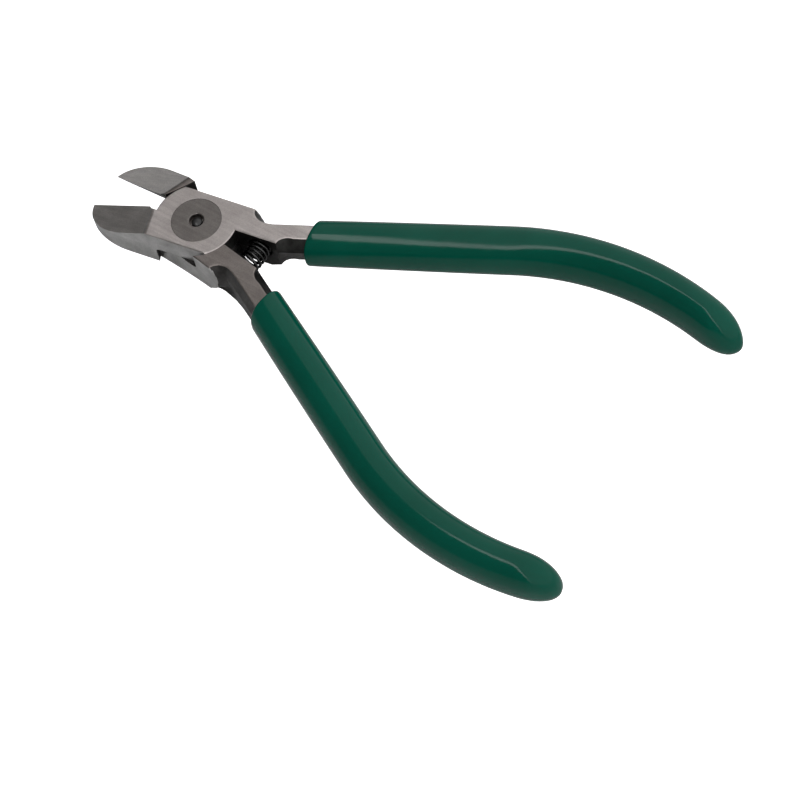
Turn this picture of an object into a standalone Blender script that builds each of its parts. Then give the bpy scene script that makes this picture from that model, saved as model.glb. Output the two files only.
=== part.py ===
"""Flush cut pliers with a lap joint, a return spring and dipped grips.

The levers are drawn in the closed position, each in its own frame: X runs from the
pivot to the handles, Z runs along the pivot axis towards the front face, and the rear
face of the head is z = 0.  They are then turned about the pivot to the open position.
The front lever's jaw lies at -Y and its handle at +Y, and the rear lever is the same
shape mirrored in Y, with the other half of the lap joint.
"""
import math

import bmesh
import bpy
from mathutils import Matrix, Vector

MM = 0.001

# Whole tool
OPEN_ANGLE = math.radians(8.9)          # each lever's turn from closed to open
THICKNESS = 9.2 * MM                    # head, front face to rear face
HEAD_HALF_WIDTH = 6.45 * MM
LAP_GAP = 0.2 * MM                      # between the two half-thickness plates
FIT_GAP = 0.3 * MM                      # between pieces that touch
BEYOND = 1.0 * MM                       # how far a cutter reaches past what it cuts

# Jaws
TIP_X = -25.0 * MM
NOSE_START_X = -14.0 * MM               # where the straight flank turns into the nose
EDGE_HEEL_X = -9.9 * MM
EDGE_OFFSET = 0.06 * MM                 # half the light gap between the closed edges
HEEL_RELIEF = 0.5 * MM
FLUSH_START = -9.5 * MM                 # where the flush face leaves the front face
FLUSH_ANGLE = math.radians(25.7)        # fall of the flush face towards the tip
FLUSH_TWIST = math.radians(11.0)        # the fall line's turn away from the jaw's edge
EDGE_LAND = 0.12 * MM                   # flat left under the cutting edge
RELIEF_START_X = -9.6 * MM
RELIEF_HEEL_Y = 4.1 * MM                # back of the blade at the heel, on the rear face
RELIEF_TIP_Y = 0.9 * MM

# Lap joint: the plates' end arcs and the walls that they turn against
HANDLE_PLATE_R = 8.27 * MM
HANDLE_WALL_R = 8.6 * MM
JAW_PLATE_R = 8.65 * MM
JAW_WALL_R = 9.25 * MM
OPEN_SIDE_R = 9.6 * MM                  # past the lever's own plate, on its free side

# Rivet and the pin that spreads it
RIVET_HEAD_R = 5.04 * MM
RIVET_SHANK_R = 4.1 * MM
RIVET_HEAD_DEPTH = 0.95 * MM
RIVET_CLEARANCE = 0.1 * MM
RIVET_MOUTH_R = 1.49 * MM
PIN_R = 0.95 * MM
PIN_HEAD_R = 2.4 * MM
PIN_HEAD_DEPTH = 1.0 * MM
PIN_DOME = 0.35 * MM

# Neck, shank and tang
INNER_Y = 0.6 * MM                      # inner face, from the closing plane
SHOULDER_X = 9.5 * MM
SCALLOP_X = 12.8 * MM                   # deepest point of the scallop behind the shoulder
SCALLOP_Y = 4.1 * MM
LOBE_X = 17.2 * MM                      # end of the straight inner face
LOBE_TURN = (17.9 * MM, 1.5 * MM)
LOBE_BULGE = 0.6 * MM
NECK_RUN = 2.6 * MM                     # from the scallop or lobe to the even shank
SHANK_X = 24.0 * MM                     # a point on the handle's straight midline
SHANK_Y = 5.4 * MM
SHANK_SLOPE = math.radians(17.8)
BEND_X = 60.1 * MM
BEND_R = 58.7 * MM
FLAT_HALF_WIDTH = 1.55 * MM             # the shank's ground front flat
FLAT_SHIFT = 0.35 * MM                  # the flat's offset to the outer side
OUTER_BULGE = 1.0 * MM                  # forged parting line, beyond the front flat
INNER_BULGE = 1.7 * MM
REAR_SHARE = 0.45                       # part of the bulge left at the rear face
TANG_END_X = 98.5 * MM
TANG_TAPER = 0.8                        # width at the tang's end, of the width at the neck
TANG_REAR_Z = 2.0 * MM                  # the shank is thinner than the head

# Return spring
SPRING_R = 13.2 * MM                    # from the pivot axis to the coil's own axis
SPRING_Z = 5.5 * MM
COIL_R = 1.95 * MM                      # to the middle of the wire
WIRE_R = 0.3 * MM
COIL_TURNS = 12
DEAD_TURNS = 1.0                        # close-wound turns at each end
SEAT_R = 2.6 * MM
SEAT_DEPTH = 2.7 * MM

# Grips
MOUTH_X = 22.8 * MM
MOUTH_TURN = math.radians(-0.9)         # of the mouth's plane, with the lever closed
MOUTH_RUN = 12.0 * MM                   # over which the sections turn square to the handle
FRONT_GRIP_END_X = 107.4 * MM
REAR_GRIP_END_X = 105.0 * MM
GRIP_Z = 5.76 * MM
GRIP_SCALE_LENGTH = 96.0 * MM           # the length over which the sizes below change
GRIP_HALF_WIDTH = (4.07 * MM, 1.4 * MM, -2.25 * MM)     # constant, linear, square term
GRIP_HALF_HEIGHT = (4.75 * MM, 0.78 * MM)
GRIP_POWER = 2.35                       # 2 is an ellipse, larger is boxier
LIP_LENGTH = 0.7 * MM
LIP_SCALE = 0.88
NOSE_LENGTH = 7.5 * MM
NOSE_POWER = 2.4
NOSE_SHARES = (0.3, 0.55, 0.75, 0.9, 0.98, 1.0)
NOSE_SLANT = 0.3                        # the nose reaches further at its rear side
SMALLEST_NOSE = 0.12                    # scale of the last section

ARC_STEP = math.radians(8.0)
ROUND_SEGMENTS = 48
NOSE_POINTS = 10
SCALLOP_POINTS = 4
DOME_POINTS = 4
SECTION_POINTS = 20
POINTS_PER_TURN = 12
TANG_STATIONS = 9
GRIP_STATIONS = 18
FAR = 60.0 * MM                         # size of the block that cuts away a half space


# ---------------------------------------------------------------- scene helpers

def clear_scene():
    for old in list(bpy.data.objects):
        bpy.data.objects.remove(old, do_unlink=True)


def new_collection(name):
    collection = bpy.data.collections.new(name)
    bpy.context.scene.collection.children.link(collection)
    return collection


def new_material(name, colour, metallic, roughness):
    material = bpy.data.materials.new(name)
    material.use_nodes = True
    shader = material.node_tree.nodes["Principled BSDF"]
    shader.inputs["Base Color"].default_value = (*colour, 1.0)
    shader.inputs["Metallic"].default_value = metallic
    shader.inputs["Roughness"].default_value = roughness
    material.diffuse_color = (*colour, 1.0)
    return material


def object_from_bmesh(name, bm, collection, material=None):
    bmesh.ops.remove_doubles(bm, verts=bm.verts, dist=1e-6)
    bmesh.ops.recalc_face_normals(bm, faces=bm.faces)
    mesh = bpy.data.meshes.new(name)
    bm.to_mesh(mesh)
    bm.free()
    obj = bpy.data.objects.new(name, mesh)
    collection.objects.link(obj)
    if material:
        mesh.materials.append(material)
    return obj


def smooth(obj, angle=35.0):
    obj.data.shade_smooth()
    obj.data.set_sharp_from_angle(angle=math.radians(angle))


def cut(target, cutter):
    """Subtract the cutter, which turns with the target about the pivot."""
    cutter.rotation_euler = target.rotation_euler
    cutter.hide_render = True
    cutter.display_type = "WIRE"
    modifier = target.modifiers.new("cut_" + cutter.name, "BOOLEAN")
    modifier.operation = "DIFFERENCE"
    modifier.solver = "EXACT"
    modifier.object = cutter


# ---------------------------------------------------------------- shape helpers

def arc(radius, start, end):
    """Points on an arc about the pivot, from one angle to the other."""
    count = max(2, math.ceil(abs(end - start) / ARC_STEP))
    angles = [start + (end - start) * i / count for i in range(count + 1)]
    return [(radius * math.cos(a), radius * math.sin(a)) for a in angles]


def loft(rings):
    """A closed body through rings that all have the same number of points."""
    bm = bmesh.new()
    loops = [[bm.verts.new(point) for point in ring] for ring in rings]
    count = len(rings[0])
    for low, high in zip(loops, loops[1:]):
        for i in range(count):
            j = (i + 1) % count
            bm.faces.new((low[i], low[j], high[j], high[i]))
    bm.faces.new(loops[0])
    bm.faces.new(loops[-1])
    return bm


def prism(outline, low, high):
    """A flat outline of (x, y) points, given a thickness along Z."""
    return loft([[(x, y, z) for x, y in outline] for z in (low, high)])


def turned(name, profile, collection, material=None):
    """A closed profile of (radius, z) points, turned about the pivot axis."""
    bm = bmesh.new()
    verts = [bm.verts.new((radius, 0.0, z)) for radius, z in profile]
    for start, end in zip(verts, verts[1:] + verts[:1]):
        bm.edges.new((start, end))
    bmesh.ops.spin(bm, geom=bm.verts[:] + bm.edges[:], axis=(0, 0, 1), cent=(0, 0, 0),
                   angle=2 * math.pi, steps=ROUND_SEGMENTS, use_merge=True)
    return object_from_bmesh(name, bm, collection, material)


def half_space(name, origin, normal, collection):
    """A big block whose one face passes through the origin, square to the normal."""
    bm = bmesh.new()
    turn = normal.to_track_quat("Z", "Y").to_matrix().to_4x4()
    matrix = Matrix.Translation(origin) @ turn @ Matrix.Translation((0, 0, FAR / 2))
    bmesh.ops.create_cube(bm, size=FAR, matrix=matrix)
    return object_from_bmesh(name, bm, collection)


# ---------------------------------------------------------------- the handle's midline

def midline(x):
    """Height and slope angle of the handle's midline: a straight run, then an arc."""
    if x < BEND_X:
        return SHANK_Y + (x - SHANK_X) * math.tan(SHANK_SLOPE), SHANK_SLOPE
    centre_x = BEND_X + BEND_R * math.sin(SHANK_SLOPE)
    start_y = SHANK_Y + (BEND_X - SHANK_X) * math.tan(SHANK_SLOPE)
    centre_y = start_y - BEND_R * math.cos(SHANK_SLOPE)
    slope = -math.asin((x - centre_x) / BEND_R)
    return centre_y + BEND_R * math.cos(slope), slope


def beside_midline(x, offset):
    """A point beside the midline, the offset being positive to the outer side."""
    y, slope = midline(x)
    return x - offset * math.sin(slope), y + offset * math.cos(slope)


def tang_edge(x, edge):
    """Offset of the ground flat's edge from the midline, and the bulge beyond it.

    The edge is 1 on the outer side and -1 on the inner side.  Both sizes shrink
    towards the tang's end.
    """
    share = max(0.0, (x - MOUTH_X) / (TANG_END_X - MOUTH_X))
    taper = 1.0 + (TANG_TAPER - 1.0) * share
    bulge = OUTER_BULGE if edge > 0 else INNER_BULGE
    return (FLAT_SHIFT + edge * FLAT_HALF_WIDTH) * taper, bulge * taper


def tang_point(x, edge):
    offset, bulge = tang_edge(x, edge)
    return (*beside_midline(x, offset), bulge)


def steps(start, end, count):
    return [start + (end - start) * i / count for i in range(count + 1)]


# ---------------------------------------------------------------- levers

def scallop():
    """A quarter of an ellipse from the head's side down to the shank, towards the head."""
    length = SCALLOP_X - SHOULDER_X
    depth = HEAD_HALF_WIDTH - SCALLOP_Y
    points = []
    for angle in steps(math.pi / 2, 0.0, SCALLOP_POINTS):
        x = SCALLOP_X - length * math.cos(angle)
        y = HEAD_HALF_WIDTH - depth * math.sin(angle)
        points.append((x, y, OUTER_BULGE * math.sin(angle)))
    return points


def lever_outline():
    """The lever's edge, anticlockwise, as (x, y, bulge) with the bulge at mid height."""
    flank = HEAD_HALF_WIDTH
    nose = [(NOSE_START_X + (TIP_X - NOSE_START_X) * math.sin(a), -flank * math.cos(a))
            for a in steps(math.pi / 2, 0.0, NOSE_POINTS)]
    nose[0] = (TIP_X, -EDGE_OFFSET)
    low_corner = math.asin(-flank / HANDLE_PLATE_R)
    handle_arc = arc(HANDLE_PLATE_R, low_corner, math.asin(INNER_Y / HANDLE_PLATE_R))
    lobe = [(LOBE_X, INNER_Y, 0.0), (*LOBE_TURN, LOBE_BULGE)]
    inner = [tang_point(x, -1) for x in steps(LOBE_X + NECK_RUN, TANG_END_X, TANG_STATIONS)]
    outer = [tang_point(x, 1) for x in steps(TANG_END_X, SCALLOP_X + NECK_RUN, TANG_STATIONS)]
    high_corner = math.pi - math.asin(flank / JAW_PLATE_R)
    jaw_arc = arc(JAW_PLATE_R, high_corner, math.pi + math.asin(HEEL_RELIEF / JAW_PLATE_R))
    heel = [(EDGE_HEEL_X, -HEEL_RELIEF), (EDGE_HEEL_X - HEEL_RELIEF, -EDGE_OFFSET)]
    return ([(x, y, 0.0) for x, y in nose + handle_arc] + lobe + inner + outer + scallop()
            + [(x, y, 0.0) for x, y in jaw_arc + heel])


def level_ring(outline, share, z, side):
    """One level of the blank: the outline grown by a share of each point's bulge."""
    ring = []
    count = len(outline)
    for i, (x, y, bulge) in enumerate(outline):
        before = Vector(outline[i - 1][:2])
        after = Vector(outline[(i + 1) % count][:2])
        along = (after - before).normalized()
        out = Vector((along.y, -along.x)) * bulge * share
        ring.append((x + out.x, side * (y + out.y), z))
    return ring


def lever_blank(name, side, collection, material):
    outline = lever_outline()
    levels = ((REAR_SHARE, 0.0), (1.0, THICKNESS / 2), (0.0, THICKNESS))
    rings = [level_ring(outline, share, z, side) for share, z in levels]
    lever = object_from_bmesh(name, loft(rings), collection, material)
    lever.rotation_euler.z = side * OPEN_ANGLE
    return lever


def recess_cutter(name, side, low, high, collection):
    """The room that the other lever's plate turns in, with a wall at each end of it."""
    quarter = math.pi / 2
    outline = arc(HANDLE_WALL_R, -quarter, quarter)
    outline += arc(OPEN_SIDE_R, quarter, 2 * quarter)
    outline += arc(JAW_WALL_R, 2 * quarter, 3 * quarter)
    mirrored = [(x, side * y) for x, y in outline]
    return object_from_bmesh(name, prism(mirrored, low, high), collection)


def flush_cutter(name, side, collection):
    """Everything in front of the jaw's flush face, which falls towards the tip."""
    fall = Vector((-math.cos(FLUSH_TWIST), -side * math.sin(FLUSH_TWIST), 0.0))
    normal = Vector((0, 0, 1)) * math.cos(FLUSH_ANGLE) + fall * math.sin(FLUSH_ANGLE)
    return half_space(name, Vector((FLUSH_START, 0, THICKNESS)), normal, collection)


def flush_z(x):
    """Height of the cutting edge, where the flush face meets the closing plane."""
    fall = math.tan(FLUSH_ANGLE) * math.cos(FLUSH_TWIST)
    return THICKNESS - fall * (FLUSH_START - x)


def relief_ring(share, side):
    """One end of the room behind the blade, whose slope starts under the edge's land."""
    x = RELIEF_START_X + (TIP_X - RELIEF_START_X) * share
    back = RELIEF_HEEL_Y + (RELIEF_TIP_Y - RELIEF_HEEL_Y) * share
    slope = (flush_z(x) - EDGE_LAND) / (back - EDGE_OFFSET)
    profile = [(-back - BEYOND / slope, -BEYOND), (BEYOND, -BEYOND),
               (BEYOND, slope * (back + BEYOND))]
    return [(x, side * y, z) for y, z in profile]


def relief_cutter(name, side, collection):
    """Everything behind the blade, from the heel to beyond the tip."""
    rings = [relief_ring(share, side) for share in (0.0, 1.05)]
    return object_from_bmesh(name, loft(rings), collection)


def seat_cutter(name, side, collection):
    """A blind hole in the inner face, along the coil's own axis."""
    mouth_angle = math.asin(INNER_Y / SPRING_R)
    angle = mouth_angle + SEAT_DEPTH / SPRING_R / 2
    centre = Vector((math.cos(angle), side * math.sin(angle), 0.0)) * SPRING_R
    centre.z = SPRING_Z
    along = Vector((-math.sin(angle), side * math.cos(angle), 0.0))
    turn = along.to_track_quat("Z", "Y").to_matrix().to_4x4()
    lead_in = SEAT_DEPTH
    matrix = Matrix.Translation(centre - along * lead_in / 2) @ turn
    bm = bmesh.new()
    bmesh.ops.create_cone(bm, cap_ends=True, segments=ROUND_SEGMENTS // 2, radius1=SEAT_R,
                          radius2=SEAT_R, depth=SEAT_DEPTH + lead_in, matrix=matrix)
    return object_from_bmesh(name, bm, collection)


def bore_profile(extra):
    """Half section of the rivet's outside, grown by the running clearance."""
    head = RIVET_HEAD_R + extra
    shank = RIVET_SHANK_R + extra
    return [(head, 0.0), (shank, RIVET_HEAD_DEPTH), (shank, THICKNESS - RIVET_HEAD_DEPTH),
            (head, THICKNESS)]


def bore_cutter(name, collection):
    profile = bore_profile(RIVET_CLEARANCE)
    ends = [(0.0, -BEYOND), (profile[0][0], -BEYOND)]
    far_ends = [(profile[-1][0], THICKNESS + BEYOND), (0.0, THICKNESS + BEYOND)]
    return turned(name, ends + profile + far_ends, collection)


def taper_cutter(name, side, collection):
    """The shank's rear face rises behind the neck, so that the tang is thinner."""
    start = LOBE_X - BEYOND
    ramp_end = MOUTH_X
    profile = [(start, 0.0), (ramp_end, TANG_REAR_Z), (TANG_END_X + FAR, TANG_REAR_Z),
               (TANG_END_X + FAR, -THICKNESS), (start, -THICKNESS)]
    rings = [[(x, side * y, z) for x, z in profile] for y in (-FAR / 2, FAR)]
    return object_from_bmesh(name, loft(rings), collection)


def make_lever(name, side, parts, cutters, material):
    """The front lever has side 1, and the rear lever, mirrored, has side -1."""
    middle = THICKNESS / 2
    if side > 0:
        low, high = -BEYOND, middle + LAP_GAP / 2
    else:
        low, high = middle - LAP_GAP / 2, THICKNESS + BEYOND
    lever = lever_blank(name, side, parts, material)
    cut(lever, recess_cutter(name + "_recess", side, low, high, cutters))
    cut(lever, bore_cutter(name + "_bore", cutters))
    cut(lever, seat_cutter(name + "_seat", side, cutters))
    cut(lever, taper_cutter(name + "_taper", side, cutters))
    cut(lever, relief_cutter(name + "_relief", side, cutters))
    cut(lever, flush_cutter(name + "_flush", side, cutters))
    return lever


# ---------------------------------------------------------------- rivet and pin

def make_rivet(parts, material):
    hole = PIN_R + FIT_GAP
    pocket = PIN_HEAD_R + FIT_GAP
    pocket_z = PIN_HEAD_DEPTH + FIT_GAP
    inside = [(RIVET_MOUTH_R, THICKNESS), (hole, THICKNESS - RIVET_MOUTH_R + hole),
              (hole, pocket_z), (pocket, pocket_z), (pocket, 0.0)]
    rivet = turned("pivot_rivet", bore_profile(0.0) + inside, parts, material)
    smooth(rivet)
    return rivet


def make_pin(parts, material):
    """The pin that was driven in from the rear: a flat head, a shank and a domed end."""
    shoulder = THICKNESS - PIN_DOME - FIT_GAP
    dome = [(PIN_R * math.cos(a), shoulder + PIN_DOME * math.sin(a))
            for a in steps(0.0, math.pi / 2, DOME_POINTS)]
    dome[-1] = (0.0, dome[-1][1])
    profile = [(0.0, 0.0), (PIN_HEAD_R, 0.0), (PIN_HEAD_R, PIN_HEAD_DEPTH),
               (PIN_R, PIN_HEAD_DEPTH)] + dome
    pin = turned("rivet_pin", profile, parts, material)
    smooth(pin)
    return pin


# ---------------------------------------------------------------- spring

def coil_points():
    """The wire's path: a helix round an arc about the pivot, close-wound at its ends."""
    bottom = math.asin(INNER_Y / SPRING_R) + SEAT_DEPTH / SPRING_R + OPEN_ANGLE
    reach = bottom - (FIT_GAP + WIRE_R) / SPRING_R
    dead_pitch = 2.1 * WIRE_R / SPRING_R
    live_pitch = (2 * reach - 2 * DEAD_TURNS * dead_pitch) / (COIL_TURNS - 2 * DEAD_TURNS)
    points = []
    for i in range(COIL_TURNS * POINTS_PER_TURN + 1):
        turn = i / POINTS_PER_TURN
        first = min(turn, DEAD_TURNS)
        last = max(turn - (COIL_TURNS - DEAD_TURNS), 0.0)
        live = turn - first - last
        along = -reach + (first + last) * dead_pitch + live * live_pitch
        phase = 2 * math.pi * turn
        radius = SPRING_R + COIL_R * math.cos(phase)
        z = SPRING_Z + COIL_R * math.sin(phase)
        points.append((radius * math.cos(along), radius * math.sin(along), z))
    return points


def make_spring(parts, material):
    points = coil_points()
    curve = bpy.data.curves.new("return_spring", "CURVE")
    curve.dimensions = "3D"
    curve.bevel_depth = WIRE_R
    curve.bevel_resolution = 2
    curve.use_fill_caps = True
    spline = curve.splines.new("POLY")
    spline.points.add(len(points) - 1)
    for slot, point in zip(spline.points, points):
        slot.co = (*point, 1.0)
    guide = bpy.data.objects.new("spring_guide", curve)
    parts.objects.link(guide)
    bpy.context.view_layer.update()
    evaluated = guide.evaluated_get(bpy.context.evaluated_depsgraph_get())
    mesh = bpy.data.meshes.new_from_object(evaluated)
    bm = bmesh.new()
    bm.from_mesh(mesh)
    spring = object_from_bmesh("return_spring", bm, parts, material)
    spring.matrix_world = guide.matrix_world
    bpy.data.objects.remove(guide)
    bpy.data.meshes.remove(mesh)
    smooth(spring)
    return spring


# ---------------------------------------------------------------- grips

def grip_size(x):
    share = (x - MOUTH_X) / GRIP_SCALE_LENGTH
    a, b, c = GRIP_HALF_WIDTH
    return a + b * share + c * share ** 2, GRIP_HALF_HEIGHT[0] + GRIP_HALF_HEIGHT[1] * share


def section_turn(x):
    """Angle of a section's plane: across the tool at the mouth, then square to the
    midline."""
    blend = min(1.0, (x - MOUTH_X) / MOUTH_RUN)
    slope = midline(x)[1]
    return blend * slope + (1.0 - blend) * MOUTH_TURN


def grip_ring(x, scale, slant, side):
    """A boxy oval across the grip, leaning back at the front by the slant."""
    half_width, half_height = grip_size(x)
    y, slope = midline(x)
    turn = section_turn(x)
    stretch = 1.0 / math.cos(slope - turn)
    ring = []
    for i in range(SECTION_POINTS):
        angle = 2 * math.pi * (i + 0.5) / SECTION_POINTS
        across = math.copysign(abs(math.cos(angle)) ** (2 / GRIP_POWER), math.cos(angle))
        up = math.copysign(abs(math.sin(angle)) ** (2 / GRIP_POWER), math.sin(angle))
        offset = across * half_width * stretch * scale
        lift = up * half_height * scale
        along = -slant * lift
        px = x - offset * math.sin(turn) + along * math.cos(slope)
        py = y + offset * math.cos(turn) + along * math.sin(slope)
        ring.append((px, side * py, GRIP_Z + lift))
    return ring


def grip_body(end_x, side):
    """The outside of the grip: a rounded lip, a long body and a blunt nose."""
    nose_start = end_x - NOSE_LENGTH
    rings = [grip_ring(MOUTH_X, LIP_SCALE, 0.0, side)]
    for x in steps(MOUTH_X + LIP_LENGTH, nose_start, GRIP_STATIONS):
        rings.append(grip_ring(x, 1.0, 0.0, side))
    for share in NOSE_SHARES:
        scale = max(SMALLEST_NOSE, (1.0 - share ** NOSE_POWER) ** (1 / NOSE_POWER))
        rings.append(grip_ring(nose_start + NOSE_LENGTH * share, scale, NOSE_SLANT * share, side))
    return loft(rings)


def bore_ring(x, side):
    """The grip's inside: the tang's six-sided section with a gap all round."""
    middle = THICKNESS / 2
    rear_share = REAR_SHARE + (1.0 - REAR_SHARE) * TANG_REAR_Z / middle
    levels = ((0.0, THICKNESS + FIT_GAP), (1.0, middle), (rear_share, TANG_REAR_Z - FIT_GAP))
    corners = []
    for edge in (1, -1):
        offset, bulge = tang_edge(x, edge)
        half = [(offset + edge * (bulge * share + FIT_GAP), z) for share, z in levels]
        corners += half if edge > 0 else half[::-1]
    ring = []
    for offset, z in corners:
        px, py = beside_midline(x, offset)
        ring.append((px, side * py, z))
    return ring


def grip_bore(side):
    start = MOUTH_X - 6 * BEYOND
    end = TANG_END_X + 2 * FIT_GAP
    return loft([bore_ring(x, side) for x in steps(start, end, 2 * TANG_STATIONS)])


def make_grip(name, end_x, side, parts, cutters, material):
    grip = object_from_bmesh(name, grip_body(end_x, side), parts, material)
    grip.rotation_euler.z = side * OPEN_ANGLE
    cut(grip, object_from_bmesh(name + "_bore", grip_bore(side), cutters))
    smooth(grip)
    return grip


# ---------------------------------------------------------------- the tool

def main():
    clear_scene()
    parts = new_collection("flush_cut_pliers")
    cutters = new_collection("cutters")
    steel = new_material("ground_steel", (0.35, 0.31, 0.30), 1.0, 0.35)
    dark_steel = new_material("rivet_steel", (0.14, 0.13, 0.12), 1.0, 0.4)
    black_steel = new_material("black_steel", (0.02, 0.02, 0.02), 0.9, 0.45)
    vinyl = new_material("green_vinyl", (0.004, 0.055, 0.034), 0.0, 0.25)
    make_lever("front_lever", 1, parts, cutters, steel)
    make_lever("rear_lever", -1, parts, cutters, steel)
    make_rivet(parts, dark_steel)
    make_pin(parts, black_steel)
    make_spring(parts, black_steel)
    make_grip("front_grip", FRONT_GRIP_END_X, 1, parts, cutters, vinyl)
    make_grip("rear_grip", REAR_GRIP_END_X, -1, parts, cutters, vinyl)


main()
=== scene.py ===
import math

import bmesh
import bpy
from mathutils import Matrix, Vector


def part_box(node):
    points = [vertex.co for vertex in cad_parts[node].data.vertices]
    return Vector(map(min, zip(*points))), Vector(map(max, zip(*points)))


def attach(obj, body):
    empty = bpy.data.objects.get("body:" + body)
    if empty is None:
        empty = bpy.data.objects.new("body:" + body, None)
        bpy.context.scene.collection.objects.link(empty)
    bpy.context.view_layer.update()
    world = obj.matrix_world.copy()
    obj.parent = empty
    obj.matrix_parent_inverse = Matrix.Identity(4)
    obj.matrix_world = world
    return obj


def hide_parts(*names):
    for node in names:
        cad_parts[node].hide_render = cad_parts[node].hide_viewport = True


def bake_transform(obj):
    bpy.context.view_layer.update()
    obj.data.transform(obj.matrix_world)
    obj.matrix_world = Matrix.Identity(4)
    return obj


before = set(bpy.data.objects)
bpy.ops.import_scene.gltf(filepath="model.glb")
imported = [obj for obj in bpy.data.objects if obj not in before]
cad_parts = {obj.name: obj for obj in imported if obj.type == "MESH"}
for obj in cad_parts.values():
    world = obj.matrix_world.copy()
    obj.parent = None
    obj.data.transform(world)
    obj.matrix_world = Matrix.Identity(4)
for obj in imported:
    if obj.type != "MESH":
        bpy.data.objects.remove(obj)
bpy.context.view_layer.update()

# Looks of the flush cut pliers.  Each piece is a finer form of one CAD node.  As in the
# CAD, a lever is drawn closed, in its own frame: X from the pivot to the handles, Z along
# the pivot axis to the front face.  Side 1 is the front lever, whose jaw is at -Y, and
# side -1 is the rear lever, mirrored in Y.  The mesh is then turned to the open position.

MM = 0.001
FRONT_BODY = "front_lever_body"
REAR_BODY = "rear_lever_body"

# Whole tool
OPEN_ANGLE = math.radians(8.9)
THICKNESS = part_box("front_lever")[1].z
MIDDLE = THICKNESS / 2
FLANK = 6.45 * MM                       # half width of the head
LAP_GAP = 0.06 * MM
CHAMFER = 0.25 * MM
CHAMFER_DEPTH = 0.13 * MM
CHAMFER_RUN = 3.0 * MM                  # it fades out this far behind the nose
RIM_CHAMFER = 0.06 * MM
BEYOND = 1.0 * MM                       # how far a cutter reaches past what it cuts
MERGE = 0.001 * MM                      # points closer than this are one point

# Jaws
TIP_X = -25.0 * MM
NOSE_START_X = -14.0 * MM               # where the straight flank turns into the nose
EDGE_HEEL_X = -9.9 * MM
EDGE_OFFSET = 0.05 * MM
HEEL_RELIEF = 0.5 * MM
FLUSH_START = -9.5 * MM
FLUSH_ANGLE = math.radians(25.7)
FLUSH_TWIST = math.radians(11.0)
FOLD_R = 2.2 * MM                       # rounding between the front face and the flush face
FLUSH_LENGTH = 26.0 * MM
FLUSH_LIFT = 0.001 * MM                 # keeps the cutter's edge off the front face's plane
EDGE_LAND = 0.1 * MM
RELIEF_START_X = -9.6 * MM
RELIEF_HEEL_Y = 4.1 * MM
RELIEF_TIP_Y = 0.9 * MM
RELIEF_REACH = 1.05                     # its length, in blade lengths
FLARE = 0.95 * MM                       # the head's side leans out at its rear edge
FLARE_START_X = 8.0 * MM
FLARE_POWERS = (1.5, 6)                 # of the share along the side, and of the width

# Lap joint
HANDLE_PLATE_R = 8.27 * MM
HANDLE_WALL_R = 8.36 * MM
FILLET = 1.0 * MM                       # between the recess's wall and the lap face
JAW_PLATE_R = 8.65 * MM
JAW_WALL_R = 8.72 * MM
JAW_WALL_WIDENING = 0.75 * MM           # towards both ends of the wall
JAW_WALL_MIDDLE = math.radians(202.0)
JAW_WALL_SPREAD = math.radians(22.0)
OPEN_SIDE_R = 9.6 * MM                  # past the lever's own plate, on its free side

# Rivet and pin
RIVET_HEAD_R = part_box("pivot_rivet")[1].x
RIVET_SHANK_R = 4.1 * MM
RIVET_HEAD_DEPTH = 0.95 * MM
RIVET_CLEARANCE = 0.03 * MM
RIVET_EDGE = 0.05 * MM
RIVET_MOUTH_R = 1.5 * MM
RIVET_LIP_R = 1.62 * MM
MOUTH_DEPTH = 1.1 * MM
PIN_R = 1.1 * MM
PIN_HEAD_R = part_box("rivet_pin")[1].x
PIN_HEAD_DEPTH = 1.0 * MM
PIN_DOME = 0.4 * MM
PIN_SINK = 0.3 * MM

# Neck, shank and tang
INNER_Y = 0.6 * MM
SHOULDER_X = 9.8 * MM
SCALLOP_X = 12.8 * MM
SCALLOP_Y = 4.05 * MM
SHOULDER_BULGE = 1.05 * MM
SCALLOP_BULGE = 0.45 * MM               # more of it, half way round the scallop
HOLLOW_TOP = 0.68                       # height where that bulge is largest
HOLLOW_ABOVE = 0.32                     # its reach above and below that height
HOLLOW_BELOW = 0.6
SCALLOP_REAR_X = -1.8 * MM              # how far its rear edge is moved
SCALLOP_REAR_Y = 1.15 * MM
LOBE_X = 17.2 * MM
NECK_RUN = 2.4 * MM
RIDGE_RUN = 1.0 * MM                    # over which the ridge starts before the lobe
SHANK_X = 24.0 * MM
SHANK_Y = 5.4 * MM
SHANK_SLOPE = math.radians(17.8)
BEND_X = 60.1 * MM
BEND_R = 58.7 * MM
FLAT_HALF_WIDTH = 1.55 * MM
FLAT_SHIFT = 0.35 * MM
OUTER_BULGE = 1.0 * MM
INNER_BULGE = 1.7 * MM
UNDERCUT_START = 0.14                   # height where the inner bulge begins
PARTING = 6.5 * MM / THICKNESS          # height of the ridge, as a share of the thickness
TANG_END_X = 98.0 * MM
TANG_TAPER = 0.8
TANG_REAR_Z = 2.0 * MM
NECK_REAR_X = 14.6 * MM                 # the rear face rises from here
NECK_REAR_Z = 1.5 * MM

# Return spring
SPRING_R = 13.2 * MM
SPRING_Z = 5.5 * MM
COIL_R = 1.95 * MM
WIRE_R = 0.3 * MM
COIL_TURNS = 12
COIL_START = 0.5                        # where the wire starts, in turns
DEAD_TURNS = 1.0                        # close-wound turns at each end
DEAD_PITCH = 2.05 * WIRE_R
END_GAP = 1.1 * WIRE_R                  # from the seat's floor to the middle of the wire
SEAT_R = 2.6 * MM
SEAT_DEPTH = 2.7 * MM

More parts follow.
